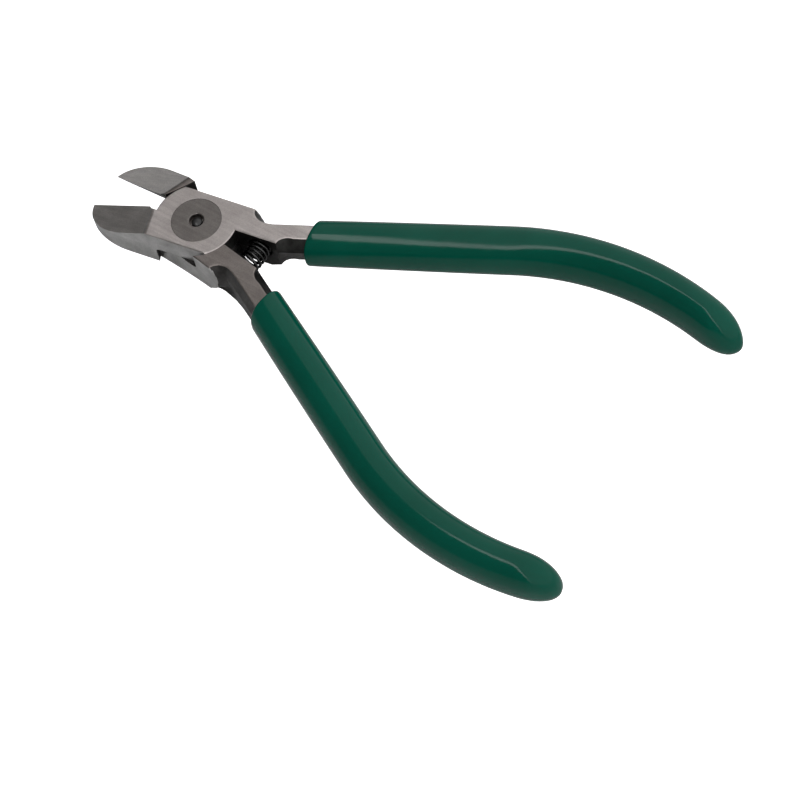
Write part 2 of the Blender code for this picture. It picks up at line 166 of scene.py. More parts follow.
# Grips
MOUTH_X = 22.8 * MM
MOUTH_TURN = math.radians(-0.9)         # of the mouth's plane, with the lever closed
MOUTH_RUN = 12.0 * MM
FRONT_GRIP_ENDS = (22.8 * MM, 107.2 * MM)
REAR_GRIP_ENDS = (23.5 * MM, 104.6 * MM)
GRIP_Z = 5.76 * MM
GRIP_SCALE_LENGTH = 96.0 * MM
GRIP_HALF_WIDTH = (4.07 * MM, 1.4 * MM, -2.25 * MM)
GRIP_HALF_HEIGHT = (4.75 * MM, 0.78 * MM)
GRIP_POWER = 2.35
LIP_R = 0.5 * MM
LIP_DEPTH = 0.3 * LIP_R                 # from the mouth's plane to where the inside begins
NOSE_LENGTH = 7.5 * MM
NOSE_POWER = 2.4
NOSE_START = 0.08                       # angle of the first ring, beside the very end
NOSE_SLANT = 0.3                        # the nose reaches further at its rear side
FRONT_NOSE_SKEW = 0.35                  # the nose reaches further on its outer side
REAR_NOSE_SKEW = 0.0
GRIP_CLEARANCE = 0.02 * MM

# Stage
TABLE_SIZE = 4.0
TABLE_DROP = 0.0005
BACKDROP_R = 3.0
LIGHT_SIDE = (0.83, 0.558)              # towards the bright side
LIGHT_EDGE = -0.251                     # where it begins, as a slope from upright
SEAM_NEAR = -0.145
SEAM_FAR = -0.135
EDGE_BLUR = 0.004
BRIGHT_GLOW = 1.05
DIM_GLOW = 0.15
WINDOW_SIDE = (0.707, -0.707)
WINDOW_END = -0.36
WINDOW_FAR = -0.16
WINDOW_BLUR = 0.02
WINDOW_GLOW = 6.5
CAMERA_LENS = 99.0                      # mm, like the sensor's width
CAMERA_SENSOR = 36.0
CAMERA_AIM = Vector((0.05536, -0.01192, THICKNESS / 2))
CAMERA_DISTANCE = 0.41214
CAMERA_AZIMUTH = math.radians(-45.71)
CAMERA_ELEVATION = math.radians(60.07)
CAMERA_ROLL = math.radians(-12.6)

# Fineness
ARC_STEP = math.radians(2.5)
ROUND_SEGMENTS = 144
NOSE_POINTS = 40
DOME_POINTS = 12
SCALLOP_POINTS = 16
LOBE_POINTS = 8
FLANK_POINTS = 12
RECESS_POINTS = 45
TANG_STATIONS = 40
LEVELS = 12
FILLET_SHARES = (-1.0, -0.6, -0.3, -0.1, -0.02, 0.02, 0.1, 0.3, 0.6, 1.0)
RELIEF_STATIONS = 6
FOLD_POINTS = 8
FILLET_POINTS = 6
POINTS_PER_TURN = 28
WIRE_POINTS = 14
GRIP_STATIONS = 90
SECTION_POINTS = 72
NOSE_STATIONS = 18
LIP_POINTS = 8

# Sharp edges
LEVER_SHARP = math.radians(24.0)
RIVET_SHARP = math.radians(30.0)
COIL_SHARP = math.radians(40.0)
GRIP_SHARP = math.radians(50.0)

# A lever's finishes, and the share of a face's normal along the pivot axis that tells them
GROUND, BLADE, SIDE, BLACK = range(4)
FLAT_NORMAL = 0.97
REAR_NORMAL = 0.9
SLANTED_NORMAL = 0.5


# ---------------------------------------------------------------- mesh helpers

def steps(start, end, count):
    return [start + (end - start) * i / count for i in range(count + 1)]


def arc(radius, start, end):
    """Points on an arc about the pivot, from one angle to the other."""
    count = max(2, math.ceil(abs(end - start) / ARC_STEP))
    return [(radius * math.cos(a), radius * math.sin(a)) for a in steps(start, end, count)]


def object_from_bmesh(name, bm):
    bmesh.ops.remove_doubles(bm, verts=bm.verts, dist=MERGE)
    loose = [edge for edge in bm.edges if not edge.link_faces]
    bmesh.ops.delete(bm, geom=loose, context="EDGES")
    bmesh.ops.recalc_face_normals(bm, faces=bm.faces)
    mesh = bpy.data.meshes.new(name)
    bm.to_mesh(mesh)
    bm.free()
    obj = bpy.data.objects.new(name, mesh)
    bpy.context.scene.collection.objects.link(obj)
    return obj


def loft(rings, closed=False):
    """Rings with the same number of points, joined in turn and capped, or closed in a loop."""
    bm = bmesh.new()
    loops = [[bm.verts.new(point) for point in ring] for ring in rings]
    count = len(rings[0])
    following = loops[1:] + loops[:1] if closed else loops[1:]
    for low, high in zip(loops, following):
        for i in range(count):
            j = (i + 1) % count
            bm.faces.new((low[i], low[j], high[j], high[i]))
    if not closed:
        bm.faces.new(loops[0])
        bm.faces.new(loops[-1])
    return bm


def turned(name, profile):
    """A closed profile of (radius, z) points, turned about the pivot axis."""
    rings = []
    for i in range(ROUND_SEGMENTS):
        angle = 2 * math.pi * i / ROUND_SEGMENTS
        rings.append([(r * math.cos(angle), r * math.sin(angle), z) for r, z in profile])
    return object_from_bmesh(name, loft(rings, closed=True))


def smooth(obj, sharp_angle):
    """Smooth shading between the edges sharper than an angle."""
    obj.data.shade_smooth()
    obj.data.set_sharp_from_angle(angle=sharp_angle)


def smooth_with_flats(obj, sharp_angle):
    """The same, with large flat faces kept flat."""
    smooth(obj, sharp_angle)
    weighted = obj.modifiers.new("weighted_normals", "WEIGHTED_NORMAL")
    weighted.keep_sharp = True


def cut_away(target, cutters):
    """The target with the cutters taken from it, as a plain mesh."""
    for cutter in cutters:
        modifier = target.modifiers.new(cutter.name, "BOOLEAN")
        modifier.operation = "DIFFERENCE"
        modifier.solver = "EXACT"
        modifier.object = cutter
    bpy.context.view_layer.update()
    evaluated = target.evaluated_get(bpy.context.evaluated_depsgraph_get())
    mesh = bpy.data.meshes.new_from_object(evaluated)
    target.modifiers.clear()
    target.data = mesh
    for cutter in cutters:
        bpy.data.objects.remove(cutter)


def turn_open(obj, side):
    """Turns a piece drawn in the closed frame to the open position."""
    obj.data.transform(Matrix.Rotation(side * OPEN_ANGLE, 4, "Z"))


def place(obj, body, node, materials):
    """Gives a piece its materials and its place in the frame; a blended piece has no body."""
    for material in materials:
        obj.data.materials.append(material)
    if body:
        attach(obj, body)
    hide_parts(node)


# ---------------------------------------------------------------- the handle's midline

def midline(x):
    """Height and slope angle of the handle's midline: a straight run, then an arc."""
    if x < BEND_X:
        return SHANK_Y + (x - SHANK_X) * math.tan(SHANK_SLOPE), SHANK_SLOPE
    centre_x = BEND_X + BEND_R * math.sin(SHANK_SLOPE)
    start_y = SHANK_Y + (BEND_X - SHANK_X) * math.tan(SHANK_SLOPE)
    centre_y = start_y - BEND_R * math.cos(SHANK_SLOPE)
    slope = -math.asin((x - centre_x) / BEND_R)
    return centre_y + BEND_R * math.cos(slope), slope


def beside_midline(x, offset):
    """A point beside the midline, the offset being positive to the outer side."""
    y, slope = midline(x)
    return x - offset * math.sin(slope), y + offset * math.cos(slope)


def tang_edge(x, edge):
    """Offset of the front flat's edge from the midline, and the bulge beyond it."""
    share = max(0.0, (x - MOUTH_X) / (TANG_END_X - MOUTH_X))
    taper = 1.0 + (TANG_TAPER - 1.0) * share
    bulge = OUTER_BULGE if edge > 0 else INNER_BULGE
    return (FLAT_SHIFT + edge * FLAT_HALF_WIDTH) * taper, bulge * taper


# ---------------------------------------------------------------- levers

# A bulge is (x, y, shape): the shape gives the share of it at a height of 0 to 1.

def ridged(height):
    """The outer side: a sloping facet down to the parting ridge, and an upright one."""
    return min(1.0, (1 - height) / (1 - PARTING))


def undercut(height):
    """The inner side: the same ridge, with a rear facet that ends short of the rear face."""
    if height > PARTING:
        return ridged(height)
    return max(0.0, (height - UNDERCUT_START) / (PARTING - UNDERCUT_START))


def hollowed(height):
    """A round bulge, highest above mid height and gone just short of the rear."""
    reach = HOLLOW_ABOVE if height > HOLLOW_TOP else HOLLOW_BELOW
    return max(0.0, 1 - ((height - HOLLOW_TOP) / reach) ** 2)


def flared(height):
    """Most at the rear edge, and gone at mid height."""
    return max(0.0, 1 - 2 * height)


def rounded(height):
    """A round edge at the lap face, half way up, to suit the other lever's fillet."""
    share = abs(height * THICKNESS - MIDDLE) / FILLET
    return 1 - math.sqrt(1 - (1 - share) ** 2) if share < 1 else 0.0


def behind(height):
    """Only the rear edge."""
    return max(0.0, 1 - 4 * height)


def square_side(points):
    """An edge with no bulge."""
    return [(x, y, []) for x, y in points]


def scallop():
    """A quarter of an ellipse from the head's side down to the shank, towards the head."""
    length = SCALLOP_X - SHOULDER_X
    depth = FLANK - SCALLOP_Y
    points = []
    for angle in steps(math.pi / 2, 0.0, SCALLOP_POINTS):
        x = SCALLOP_X - length * math.cos(angle)
        y = FLANK - depth * math.sin(angle)
        bulge = SHOULDER_BULGE + SCALLOP_BULGE * math.sin(2 * angle)
        out = Vector((depth * math.cos(angle), length * math.sin(angle))).normalized() * bulge
        rear = (SCALLOP_REAR_X, SCALLOP_REAR_Y * math.sin(angle), behind)
        points.append((x, y, [(out.x, out.y, hollowed), rear]))
    return points


def tang_side(edge, start, end):
    """One long edge of the handle: 1 is the outer edge, and -1 is the inner one."""
    points = []
    for x in steps(start, end, TANG_STATIONS):
        offset, bulge = tang_edge(x, edge)
        slope = midline(x)[1]
        out = edge * bulge
        shape = ridged if edge > 0 else undercut
        ridge = (-out * math.sin(slope), out * math.cos(slope), shape)
        points.append((*beside_midline(x, offset), [ridge]))
    return points


def lobe():
    """The inner face's rounded end, from the closing plane up to the shank, in front of a
    ridge that runs on straight."""
    end_x, end_y = tang_side(-1, LOBE_X + NECK_RUN, TANG_END_X)[0][:2]
    ridge_offset = FLAT_SHIFT - FLAT_HALF_WIDTH - INNER_BULGE
    points = [(LOBE_X - RIDGE_RUN, INNER_Y, [])]
    for angle in steps(0.0, math.pi / 2, LOBE_POINTS)[:-1]:
        x = LOBE_X + (end_x - LOBE_X) * (1 - math.cos(angle))
        y = INNER_Y + (end_y - INNER_Y) * math.sin(angle)
        bulge = (y - midline(x)[0]) * math.cos(SHANK_SLOPE) - ridge_offset
        ridge = (bulge * math.sin(SHANK_SLOPE), -bulge * math.cos(SHANK_SLOPE), undercut)
        points.append((x, y, [ridge]))
    return points


def leaning_side(points):
    """The head's side, whose rear edge leans out more and more towards the jaw."""
    length = FLARE_START_X + JAW_PLATE_R - FLANK / 2
    along_power, across_power = FLARE_POWERS
    side = []
    for x, y in points:
        share = max(0.0, FLARE_START_X - x) / length
        lean = FLARE * share ** along_power * (y / FLANK) ** across_power
        side.append((x, y, [(0.0, lean, flared)]))
    return side


def plate_edge(points):
    """An arc about the pivot with a round edge at the lap face."""
    edge = []
    for x, y, bulges in points:
        inward = -FILLET / math.hypot(x, y)
        edge.append((x, y, bulges + [(inward * x, inward * y, rounded)]))
    return edge


def lever_outline():
    """The lever's edge, anticlockwise, as (x, y, list of bulges)."""
    nose = [(NOSE_START_X + (TIP_X - NOSE_START_X) * math.sin(a), -FLANK * math.cos(a))
            for a in steps(math.pi / 2, 0.0, NOSE_POINTS)]
    nose[0] = (TIP_X, -EDGE_OFFSET)
    low_corner = math.asin(-FLANK / HANDLE_PLATE_R)
    high_corner = math.pi - math.asin(FLANK / JAW_PLATE_R)
    nose.append((HANDLE_PLATE_R * math.cos(low_corner) - FILLET, -FLANK))
    handle_arc = arc(HANDLE_PLATE_R, low_corner, math.asin(INNER_Y / HANDLE_PLATE_R))
    inner = tang_side(-1, LOBE_X + NECK_RUN, TANG_END_X)
    outer = tang_side(1, TANG_END_X, SCALLOP_X + NECK_RUN)
    corner_x = JAW_PLATE_R * math.cos(high_corner)
    flank_start = SHOULDER_X + SCALLOP_REAR_X
    flank = [(x, FLANK) for x in steps(flank_start, corner_x, FLANK_POINTS)[1:-1]]
    jaw_arc = arc(JAW_PLATE_R, high_corner, math.pi + math.asin(HEEL_RELIEF / JAW_PLATE_R))
    heel = [(EDGE_HEEL_X, -HEEL_RELIEF), (EDGE_HEEL_X - HEEL_RELIEF, -EDGE_OFFSET)]
    return (square_side(nose) + plate_edge(square_side(handle_arc)) + lobe() + inner + outer
            + scallop() + leaning_side(flank) + plate_edge(leaning_side(jaw_arc))
            + square_side(heel))


def mitre(before, point, after):
    """How far a corner moves in when both of its edges are moved in by one unit."""
    along = (point - before).normalized()
    onward = (after - point).normalized()
    return Vector((-along.y - onward.y, along.x + onward.x)) / (1 + along.dot(onward))


def level_ring(outline, height, chamfer, side):
    """One level of the blank: the outline, moved out by its bulges and in by the chamfer."""
    corners = []
    for x, y, bulges in outline:
        x += sum(out_x * shape(height) for out_x, out_y, shape in bulges)
        y += sum(out_y * shape(height) for out_x, out_y, shape in bulges)
        corners.append(Vector((x, y)))
    ring = []
    for before, point, after in zip(corners[-1:] + corners, corners, corners[1:] + corners[:1]):
        fade = min(1.0, max(0.0, (point.x - NOSE_START_X) / CHAMFER_RUN))
        if chamfer and fade:
            point = point + mitre(before, point, after) * chamfer * fade
        ring.append((point.x, side * point.y, height * THICKNESS))
    return ring


def lever_blank(name, side):
    """The lever before any cut: its outline at each level, chamfered at both faces."""
    outline = lever_outline()
    edge = CHAMFER_DEPTH / THICKNESS
    heights = [edge] + steps(0.0, 1.0, LEVELS)[1:-1] + [1.0 - edge, PARTING]
    heights += [(MIDDLE + FILLET * share) / THICKNESS for share in FILLET_SHARES]
    heights = sorted(set(heights))
    rings = [level_ring(outline, 0.0, CHAMFER, side)]
    rings += [level_ring(outline, height, 0.0, side) for height in heights]
    rings.append(level_ring(outline, 1.0, CHAMFER, side))
    return object_from_bmesh(name, loft(rings))


def recess_ring(z, growth, side):
    """The recess's outline at a height: an arc towards the handle, a larger one on the free
    side, and the wall towards the jaw, which widens to both of its ends."""
    quarter = math.pi / 2
    outline = arc(HANDLE_WALL_R + growth, -quarter, quarter)
    outline += arc(OPEN_SIDE_R + growth, quarter, 2 * quarter)
    for angle in steps(2 * quarter, 3 * quarter, RECESS_POINTS):
        away = min(1.0, ((angle - JAW_WALL_MIDDLE) / JAW_WALL_SPREAD) ** 2)
        radius = JAW_WALL_R + JAW_WALL_WIDENING * away + growth
        outline.append((radius * math.cos(angle), radius * math.sin(angle)))
    return [(x, side * y, z) for x, y in outline]


def recess_cutter(side):
    """The room for the other lever's plate, with a fillet round its floor."""
    away = -side
    floor_z = MIDDLE - away * LAP_GAP / 2
    rim = 0.0 if side > 0 else THICKNESS
    rings = []
    for angle in steps(0.0, math.pi / 2, FILLET_POINTS):
        z = floor_z + away * FILLET * (1 - math.cos(angle))
        rings.append(recess_ring(z, FILLET * (math.sin(angle) - 1), side))
    rings.append(recess_ring(rim - away * RIM_CHAMFER, 0.0, side))
    rings.append(recess_ring(rim, RIM_CHAMFER, side))
    rings.append(recess_ring(rim + away * BEYOND, RIM_CHAMFER, side))
    return object_from_bmesh("recess_cutter", loft(rings))


def flush_z(x):
    """Height of the cutting edge, where the flush face meets the closing plane."""
    return THICKNESS - math.tan(FLUSH_ANGLE) * math.cos(FLUSH_TWIST) * (FLUSH_START - x)


def flush_cutter(side):
    """Everything in front of the flush face and the round fold that leads into it."""
    tangent = FOLD_R * math.tan(FLUSH_ANGLE / 2)
    profile = []
    for angle in steps(0.0, FLUSH_ANGLE, FOLD_POINTS):
        profile.append((FOLD_R * math.sin(angle) - tangent, -FOLD_R * (1 - math.cos(angle))))
    profile[0] = (profile[0][0], FLUSH_LIFT)
    fall = FLUSH_LENGTH * math.tan(FLUSH_ANGLE)
    profile += [(FLUSH_LENGTH, -fall), (FLUSH_LENGTH, THICKNESS), (-tangent, THICKNESS)]
    along = Vector((-math.cos(FLUSH_TWIST), -side * math.sin(FLUSH_TWIST), 0.0))
    across = Vector((-along.y, along.x, 0.0))
    rings = []
    for reach in (-3 * FLANK, 3 * FLANK):
        origin = Vector((FLUSH_START, 0.0, THICKNESS)) + across * reach
        rings.append([origin + along * s + Vector((0, 0, z)) for s, z in profile])
    return object_from_bmesh("flush_cutter", loft(rings))


def relief_ring(share, side):
    """One end of the room behind the blade, whose slope starts under the edge's land."""
    x = RELIEF_START_X + (TIP_X - RELIEF_START_X) * share
    back = RELIEF_HEEL_Y + (RELIEF_TIP_Y - RELIEF_HEEL_Y) * share
    slope = (flush_z(x) - EDGE_LAND) / (back - EDGE_OFFSET)
    profile = [(-back - BEYOND / slope, -BEYOND), (BEYOND, -BEYOND),
               (BEYOND, slope * (back + BEYOND))]
    return [(x, side * y, z) for y, z in profile]


def relief_cutter(side):
    rings = [relief_ring(share, side) for share in steps(0.0, RELIEF_REACH, RELIEF_STATIONS)]
    return object_from_bmesh("relief_cutter", loft(rings))


def taper_cutter(side):
    """What lies behind the shank's rear face, which rises so that the tang is thinner."""
    far_x = TANG_END_X + 10 * BEYOND
    profile = [(NECK_REAR_X, 0.0), (LOBE_X, NECK_REAR_Z), (MOUTH_X, TANG_REAR_Z),
               (far_x, TANG_REAR_Z), (far_x, -THICKNESS), (NECK_REAR_X, -THICKNESS)]
    rings = [[(x, side * y, z) for x, z in profile] for y in (-5 * FLANK, 5 * FLANK)]
    return object_from_bmesh("taper_cutter", loft(rings))


def seat_cutter(side):
    """A blind hole in the inner face, along the coil's own axis."""
    mouth_angle = math.asin(INNER_Y / SPRING_R)
    angle = mouth_angle + SEAT_DEPTH / SPRING_R / 2
    centre = Vector((math.cos(angle), side * math.sin(angle), 0.0)) * SPRING_R
    centre.z = SPRING_Z
    along = Vector((-math.sin(angle), side * math.cos(angle), 0.0))
    turn = along.to_track_quat("Z", "Y").to_matrix().to_4x4()
    matrix = Matrix.Translation(centre - along * SEAT_DEPTH / 2) @ turn
    bm = bmesh.new()
    bmesh.ops.create_cone(bm, cap_ends=True, segments=ROUND_SEGMENTS // 2, radius1=SEAT_R,
                          radius2=SEAT_R, depth=2 * SEAT_DEPTH, matrix=matrix)
    return object_from_bmesh("seat_cutter", bm)


def bore_cutter():
    """The rivet's hole: a cone at each face and a plain bore between."""
    head = RIVET_HEAD_R + RIVET_CLEARANCE
    shank = RIVET_SHANK_R + RIVET_CLEARANCE
    profile = [(0.0, -BEYOND), (head, -BEYOND), (head, 0.0), (shank, RIVET_HEAD_DEPTH),
               (shank, THICKNESS - RIVET_HEAD_DEPTH), (head, THICKNESS),
               (head, THICKNESS + BEYOND), (0.0, THICKNESS + BEYOND)]
    return turned("bore_cutter", profile)


def finish_of(centre, normal):
    """Which finish a face of a closed lever has: black in the joint and on the handle's
    sides, and a ground one on the front and rear, the blade, and the jaw's and head's sides."""
    on_lap_face = abs(centre.z - MIDDLE) < LAP_GAP and abs(normal.z) > FLAT_NORMAL
    if on_lap_face:
        return BLACK
    if centre.x < FLUSH_START and abs(normal.z) > SLANTED_NORMAL:
        return BLADE
    at_a_face = min(centre.z, THICKNESS - centre.z) < CHAMFER_DEPTH
    if at_a_face or normal.z < -REAR_NORMAL:
        return GROUND
    in_recess = centre.xy.length < OPEN_SIDE_R and normal.xy.dot(centre.xy) < 0
    on_jaw = centre.x < -FLANK
    on_head_side = abs(centre.y) > FLANK - CHAMFER and centre.x < SCALLOP_X
    return SIDE if not in_recess and (on_jaw or on_head_side) else BLACK


def make_lever(name, side, body, materials):
    """A forged and ground lever, made closed and then turned open."""
    lever = lever_blank(name + "_fine", side)
    cutters = [recess_cutter(side), bore_cutter(), seat_cutter(side), taper_cutter(side),
               relief_cutter(side), flush_cutter(side)]
    cut_away(lever, cutters)
    for polygon in lever.data.polygons:
        polygon.material_index = finish_of(polygon.center, polygon.normal)
    turn_open(lever, side)
    smooth_with_flats(lever, LEVER_SHARP)
    place(lever, body, name, materials)


# ---------------------------------------------------------------- rivet and pin

def make_rivet(material):
    """A countersunk rivet ground flush, with the lip of its centre hole turned in."""
    hole = PIN_R + RIVET_CLEARANCE
    pocket = PIN_HEAD_R + RIVET_CLEARANCE
    pocket_z = PIN_HEAD_DEPTH + RIVET_CLEARANCE
    profile = [(RIVET_HEAD_R - RIVET_EDGE, 0.0), (RIVET_HEAD_R, RIVET_EDGE),
               (RIVET_SHANK_R, RIVET_HEAD_DEPTH), (RIVET_SHANK_R, THICKNESS - RIVET_HEAD_DEPTH),
               (RIVET_HEAD_R, THICKNESS - RIVET_EDGE), (RIVET_HEAD_R - RIVET_EDGE, THICKNESS),
               (RIVET_LIP_R, THICKNESS), (RIVET_MOUTH_R, THICKNESS - 2 * RIVET_EDGE),
               (RIVET_MOUTH_R - RIVET_EDGE, THICKNESS - MOUTH_DEPTH),
               (hole, THICKNESS - MOUTH_DEPTH),
               (hole, pocket_z), (pocket, pocket_z), (pocket, 0.0)]
    rivet = turned("pivot_rivet_fine", profile)
    smooth_with_flats(rivet, RIVET_SHARP)
    place(rivet, REAR_BODY, "pivot_rivet", [material])


def make_pin(material):
    """The driven pin: a flat head at the rear and a domed end in the rivet's mouth."""
    shoulder = THICKNESS - PIN_SINK - PIN_DOME
    dome = [(PIN_R * math.cos(a), shoulder + PIN_DOME * math.sin(a))
            for a in steps(0.0, math.pi / 2, DOME_POINTS)]
    dome[-1] = (0.0, dome[-1][1])
    profile = [(0.0, 0.0), (PIN_HEAD_R - RIVET_EDGE, 0.0), (PIN_HEAD_R, RIVET_EDGE),
               (PIN_HEAD_R, PIN_HEAD_DEPTH), (PIN_R, PIN_HEAD_DEPTH)] + dome
    pin = turned("rivet_pin_fine", profile)
    smooth_with_flats(pin, RIVET_SHARP)
    place(pin, REAR_BODY, "rivet_pin", [material])


# ---------------------------------------------------------------- spring

def coil_frame(turn):
    """Centre of the wire and its two cross directions at a number of turns along the coil."""
    bottom = math.asin(INNER_Y / SPRING_R) + SEAT_DEPTH / SPRING_R + OPEN_ANGLE
    reach = bottom - END_GAP / SPRING_R
    dead_pitch = DEAD_PITCH / SPRING_R
    live_pitch = (2 * reach - 2 * DEAD_TURNS * dead_pitch) / (COIL_TURNS - 2 * DEAD_TURNS)
    first = min(turn, DEAD_TURNS)
    last = max(turn - (COIL_TURNS - DEAD_TURNS), 0.0)
    along = -reach + (first + last) * dead_pitch + (turn - first - last) * live_pitch
    phase = 2 * math.pi * (turn + COIL_START)
    outward = Vector((math.cos(along), math.sin(along), 0.0))
    forward = Vector((-math.sin(along), math.cos(along), 0.0))
    spoke = outward * math.cos(phase) + Vector((0, 0, 1)) * math.sin(phase)
    centre = outward * SPRING_R + spoke * COIL_R + Vector((0, 0, SPRING_Z))
    return centre, spoke, forward


def make_spring(material):
    """A round wire wound about an arc between the two blind seats."""
    rings = []
    for i in range(COIL_TURNS * POINTS_PER_TURN + 1):
        centre, spoke, forward = coil_frame(i / POINTS_PER_TURN)
        ring = []
        for j in range(WIRE_POINTS):
            angle = 2 * math.pi * j / WIRE_POINTS
            ring.append(centre + (spoke * math.cos(angle) + forward * math.sin(angle)) * WIRE_R)
        rings.append(ring)
    spring = object_from_bmesh("return_spring_fine", loft(rings))
    smooth_with_flats(spring, COIL_SHARP)
    place(spring, None, "return_spring", [material])
    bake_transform(spring)


# ---------------------------------------------------------------- grips

def grip_size(x):
    """Half width and half height of a grip's section."""
    share = (x - MOUTH_X) / GRIP_SCALE_LENGTH
    a, b, c = GRIP_HALF_WIDTH
    return a + b * share + c * share ** 2, GRIP_HALF_HEIGHT[0] + GRIP_HALF_HEIGHT[1] * share


def section_turn(x):
    """Angle of a section's plane: the mouth's own, then square to the midline."""
    blend = min(1.0, max(0.0, (x - MOUTH_X) / MOUTH_RUN))
    blend = blend * blend * (3 - 2 * blend)
    return blend * midline(x)[1] + (1.0 - blend) * MOUTH_TURN


def signed_power(value, power):
    return math.copysign(abs(value) ** power, value)


def oval():
    """Unit points of the grip's boxy oval, as (across, up)."""
    points = []
    for i in range(SECTION_POINTS):
        angle = 2 * math.pi * (i + 0.5) / SECTION_POINTS
        across = signed_power(math.cos(angle), 2 / GRIP_POWER)
        up = signed_power(math.sin(angle), 2 / GRIP_POWER)
        points.append((across, up))
    return points


def place_section(x, points, side, slant=0.0, skew=0.0):
    """Section points of (offset, lift), set across the midline at x."""
    y, slope = midline(x)
    turn = section_turn(x)
    stretch = 1.0 / math.cos(slope - turn)
    ring = []
    for offset, lift in points:
        along = -slant * lift + skew * offset
        wide = offset * stretch
        px = x - wide * math.sin(turn) + along * math.cos(slope)
        py = y + wide * math.cos(turn) + along * math.sin(slope)
        ring.append((px, side * py, GRIP_Z + lift))
    return ring


def outer_section(x, inset=0.0, scale=1.0):
    """The grip's outside as (offset, lift), moved in or made smaller."""
    half_width, half_height = grip_size(x)
    wide = (half_width - inset) * scale
    high = (half_height - inset) * scale
    return [(across * wide, up * high) for across, up in oval()]


def tang_corners(x):
    """The tang's six corners about the grip's middle height, as (offset, lift)."""
    rear = TANG_REAR_Z / THICKNESS
    gap = GRIP_CLEARANCE
    corners = []
    for edge, shape in ((1, ridged), (-1, undercut)):
        offset, bulge = tang_edge(x, edge)
        levels = ((0.0, THICKNESS + gap), (1.0, PARTING * THICKNESS),
                  (shape(rear), TANG_REAR_Z - gap))
        half = [(offset + edge * (bulge * share + gap), z - GRIP_Z) for share, z in levels]
        corners += half if edge > 0 else half[::-1]
    return corners


def inner_section(x):
    """Where rays from the middle towards the outer section meet the tang's sides."""
    corners = tang_corners(x)
    sides = list(zip(corners, corners[1:] + corners[:1]))
    points = []
    for across, up in outer_section(x):
        reach = 0.0
        for (ax, ay), (bx, by) in sides:
            cross = across * (by - ay) - up * (bx - ax)
            if abs(cross) > 1e-12:
                along_ray = (ax * (by - ay) - ay * (bx - ax)) / cross
                along_side = (ax * up - ay * across) / cross
                if along_ray > 0 and -1e-9 <= along_side <= 1 + 1e-9:
                    reach = max(reach, along_ray)
        points.append((across * reach, up * reach))
    return points


def grip_rings(mouth_x, end_x, skew, side):
    """From the nose's outside to the mouth, over the lip, and back inside along the tang."""
    nose_start = end_x - NOSE_LENGTH
    rings = []
    for angle in steps(NOSE_START, math.pi / 2, NOSE_STATIONS)[:-1]:
        share = math.cos(angle) ** (2 / NOSE_POWER)
        scale = math.sin(angle) ** (2 / NOSE_POWER)
        x = nose_start + NOSE_LENGTH * share
        rings.append(place_section(x, outer_section(x, scale=scale), side,
                                   NOSE_SLANT * share, skew * share))
    for x in steps(nose_start, mouth_x + LIP_R, GRIP_STATIONS):
        rings.append(place_section(x, outer_section(x), side))
    for angle in steps(0.0, math.pi / 2, LIP_POINTS)[1:]:
        x = mouth_x + LIP_R * (1 - math.sin(angle))
        rings.append(place_section(x, outer_section(x, LIP_R * (1 - math.cos(angle))), side))
    for x in steps(mouth_x + LIP_DEPTH, TANG_END_X, GRIP_STATIONS):
        rings.append(place_section(x, inner_section(x), side))
    return rings


def make_grip(name, ends, skew, side, body, material):
    """A hollow dipped grip, which reaches from its mouth's x to its end's x."""
    grip = object_from_bmesh(name + "_fine", loft(grip_rings(*ends, skew, side)))
    turn_open(grip, side)
    smooth(grip, GRIP_SHARP)
    place(grip, body, name, [material])


# ---------------------------------------------------------------- materials

def new_material(name, metallic, roughness):
    material = bpy.data.materials.new(name)
    material.use_nodes = True
    tree = material.node_tree
    shader = tree.nodes["Principled BSDF"]
    shader.inputs["Metallic"].default_value = metallic
    shader.inputs["Roughness"].default_value = roughness
    return material, tree, shader


def noise(tree, scale, detail, stretch=(1, 1, 1), turn=0.0):
    """Noise in the object's own coordinates, stretched and turned about the pivot axis."""
    coordinates = tree.nodes.new("ShaderNodeTexCoord")
    mapping = tree.nodes.new("ShaderNodeMapping")
    mapping.inputs["Rotation"].default_value = (0.0, 0.0, turn)
    mapping.inputs["Scale"].default_value = stretch
    texture = tree.nodes.new("ShaderNodeTexNoise")
    texture.inputs["Scale"].default_value = scale
    texture.inputs["Detail"].default_value = detail
    texture.inputs["Roughness"].default_value = 0.6
    tree.links.new(coordinates.outputs["Object"], mapping.inputs["Vector"])
    tree.links.new(mapping.outputs["Vector"], texture.inputs["Vector"])
    return texture.outputs["Fac"]


def ramp(tree, value, low, high, start, end):
    """The value, from start to end, turned into a colour or number from low to high."""
    if isinstance(low, tuple):
        node = tree.nodes.new("ShaderNodeValToRGB")
        node.color_ramp.elements[0].position = start
        node.color_ramp.elements[0].color = (*low, 1.0)
        node.color_ramp.elements[1].position = end
        node.color_ramp.elements[1].color = (*high, 1.0)
        tree.links.new(value, node.inputs["Fac"])
        return node.outputs["Color"]
    node = tree.nodes.new("ShaderNodeMapRange")
    node.inputs["From Min"].default_value = start
    node.inputs["From Max"].default_value = end
    node.inputs["To Min"].default_value = low
    node.inputs["To Max"].default_value = high
    tree.links.new(value, node.inputs["Value"])
    return node.outputs["Result"]


def bump(tree, shader, height, strength, distance):
    node = tree.nodes.new("ShaderNodeBump")
    node.inputs["Strength"].default_value = strength
    node.inputs["Distance"].default_value = distance
    tree.links.new(height, node.inputs["Height"])
    tree.links.new(node.outputs["Normal"], shader.inputs["Normal"])


def multiply(tree, a, b):
    node = tree.nodes.new("ShaderNodeMix")
    node.data_type = "RGBA"
    node.blend_type = "MULTIPLY"
    node.inputs["Factor"].default_value = 1.0
    tree.links.new(a, node.inputs["A"])
    tree.links.new(b, node.inputs["B"])
    return node.outputs["Result"]


